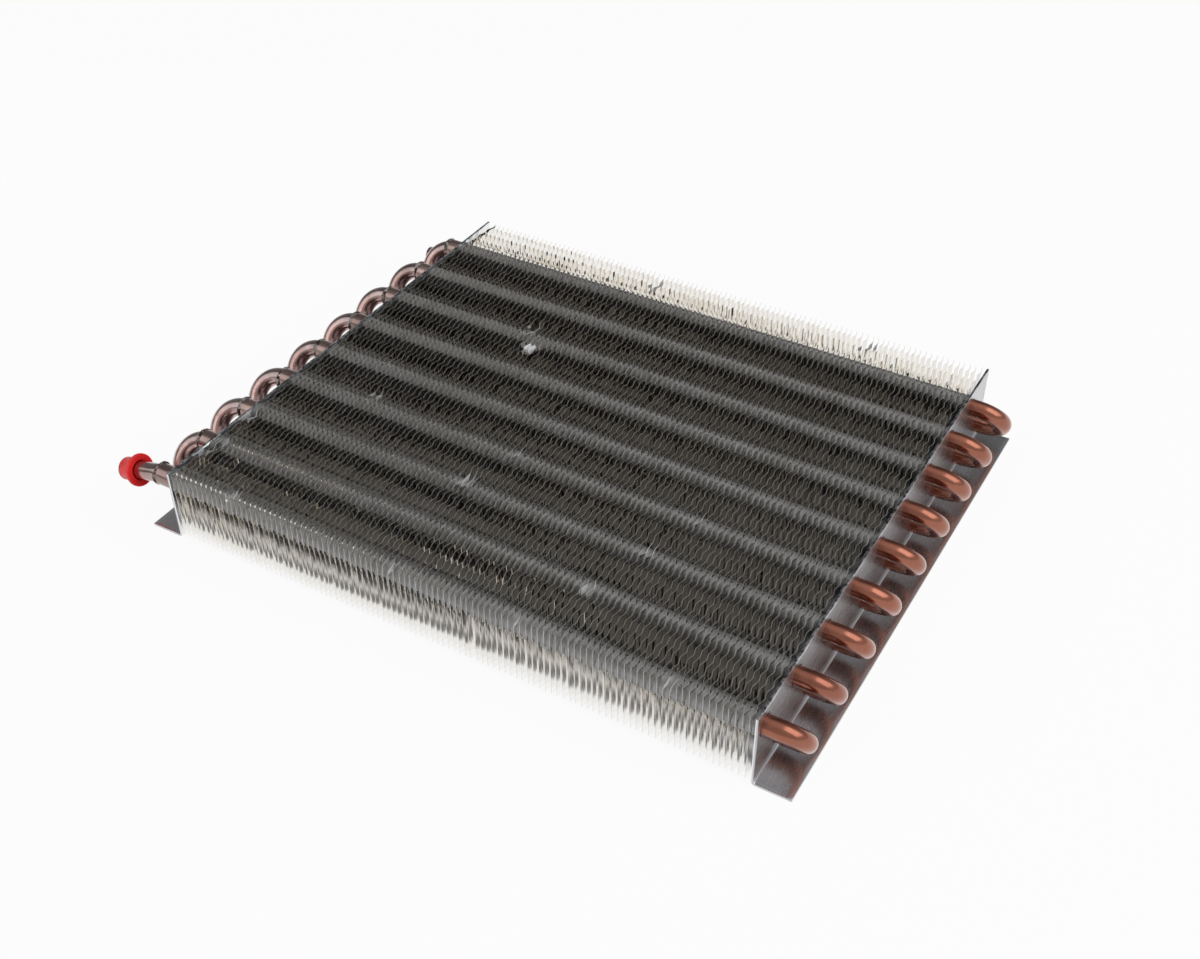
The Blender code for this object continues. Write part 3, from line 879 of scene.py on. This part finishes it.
# floor, light and camera
studio = {
    "reach": 10,  # half the floor's width
    "drop": 0.0001,  # how far it lies below the coil
    "floor": 0.95,
    "shade": 0.30,  # painted shadow: the floor's grey deep beneath the coil
    "show": 0.92,  # share of plain white in what the camera and the metal see of the open floor
    # that share beneath the coil, by distance in from its front edge, is painted light and shadow: light reaches in
    # past the front row of tubes
    "paintedUnder": (
        (0.0, 0.92), (0.0078, 0.86), (0.0098, 0.28), (0.0120, 0.12), (0.0148, 0.26),
        (0.0178, 0.62), (0.0206, 0.36), (0.0230, 0.08), (0.284, 0.07), (0.2857, 0.92)),
    "bright": (0.87, -0.50, 0.0),  # the studio's lighter side
    # share of the way from the back left to the front right, strength
    "sky": ((0.08, 0.26), (0.22, 0.09), (0.34, 0.18), (0.5, 0.42), (0.8, 0.56)),
    "horizon": (0.0, 0.05),  # heights between which the white at the horizon turns into the sky
    "overhead": (0.74, 1.0),  # heights between which the sky turns into the brighter ceiling
    "ceiling": (0.8, 0.8, 0.8),
    "white": (1.0, 1.0, 1.0),
}


def makeFloor():
    mesh = bpy.data.meshes.new("floor")
    corners = ((-1, -1), (1, -1), (1, 1), (-1, 1))
    mesh.from_pydata([(x * studio["reach"], y * studio["reach"], -studio["drop"]) for x, y in corners], [], [(0, 1, 2, 3)])
    material = bpy.data.materials.new("paleFloor")
    material.use_nodes = True
    tree = material.node_tree
    tree.nodes.clear()
    where = axes(tree, tree.nodes.new("ShaderNodeTexCoord").outputs["Object"])
    inwards = span(tree, where["Y"], 0.0, 1.0, frontEdge, backEdge)
    depth = backEdge - frontEdge
    paintedUnder = greyRamp(tree, inwards, [(min(place / depth, 1.0), grey) for place, grey in studio["paintedUnder"]])
    beside = calc(tree, "GREATER_THAN", fromMiddle(tree, where["X"]), halfX)
    shareWithPaintedShadow = blend(tree, beside, paintedUnder, (studio["show"],) * 3)
    # the camera, and the metal that mirrors the floor, see some of it as plain white, and beneath the coil the painted
    # pools of light and shadow
    rays = addNode(tree, "ShaderNodeLightPath").outputs
    seen = calc(tree, "MAXIMUM", rays["Is Camera Ray"], rays["Is Glossy Ray"])
    seen = calc(tree, "MAXIMUM", seen, rays["Is Transmission Ray"])
    lit = addNode(tree, "ShaderNodeBsdfDiffuse")
    paintedShadowColour = span(tree, shareWithPaintedShadow, studio["shade"], studio["floor"], 0.0, studio["show"])
    wire(tree, paintedShadowColour, lit.inputs["Color"])
    plain = addNode(tree, "ShaderNodeEmission", {"Color": (*studio["white"], 1), "Strength": 1.0})
    mix = addNode(tree, "ShaderNodeMixShader")
    wire(tree, calc(tree, "MULTIPLY", shareWithPaintedShadow, seen), mix.inputs[0])
    wire(tree, lit.outputs[0], mix.inputs[1])
    wire(tree, plain.outputs[0], mix.inputs[2])
    wire(tree, mix.outputs[0], addNode(tree, "ShaderNodeOutputMaterial").inputs["Surface"])
    mesh.materials.append(material)
    floor = bpy.data.objects.new("floor", mesh)
    bpy.context.scene.collection.objects.link(floor)


def makeWorld():
    # the studio is lightest at the front right and darkest behind, white just above the floor and bright overhead
    world = bpy.data.worlds.new("studio")
    world.use_nodes = True
    tree = world.node_tree
    place = addNode(tree, "ShaderNodeTexCoord").outputs["Generated"]
    up = axes(tree, place)["Z"]
    towards = addNode(tree, "ShaderNodeVectorMath", {1: studio["bright"]}, operation="DOT_PRODUCT")
    wire(tree, place, towards.inputs[0])
    sky = greyRamp(tree, span(tree, towards.outputs["Value"], 0.0, 1.0, -1.0, 1.0), studio["sky"])
    high = blend(tree, span(tree, up, 0.0, 1.0, *studio["overhead"]), sky, studio["ceiling"])
    light = blend(tree, span(tree, up, 0.0, 1.0, *studio["horizon"]), studio["white"], high)
    seen = addNode(tree, "ShaderNodeLightPath").outputs["Is Camera Ray"]  # the camera itself sees plain white
    wire(tree, blend(tree, seen, light, studio["white"]), tree.nodes["Background"].inputs["Color"])
    bpy.context.scene.world = world


def addLamp(name, place, aim, size, power):
    data = bpy.data.lights.new(name, "AREA")
    data.shape, data.size, data.size_y = "RECTANGLE", size[0], size[1]
    data.energy = power
    lamp = bpy.data.objects.new(name, data)
    lamp.location = place
    lamp.rotation_euler = (Vector(aim) - Vector(place)).to_track_quat("-Z", "Y").to_euler()
    bpy.context.scene.collection.objects.link(lamp)


makeFloor()
makeWorld()
addLamp("keySoftbox", (1.62, 0.22, 1.46), (0.1, 0, 0), (1.8, 1.7), 16)
addLamp("fillSoftbox", (-1.35, -1.25, 1.18), (0, 0, 0), (1.9, 1.4), 10)

bpy.context.scene.cycles.max_bounces = 28
bpy.context.scene.cycles.glossy_bounces = 24  # light runs down between the fins from one to the next

camera = bpy.data.objects.new("camera", bpy.data.cameras.new("camera"))
camera.data.lens = 44.85
camera.data.sensor_width = 36
camera.location = (0.32117, -0.52775, 0.49970)
camera.rotation_euler = [math.radians(a) for a in (50.859, 0.238, 30.115)]
bpy.context.scene.collection.objects.link(camera)
bpy.context.scene.camera = camera
bpy.context.scene.view_settings.view_transform = "Standard"

print("scene ready")
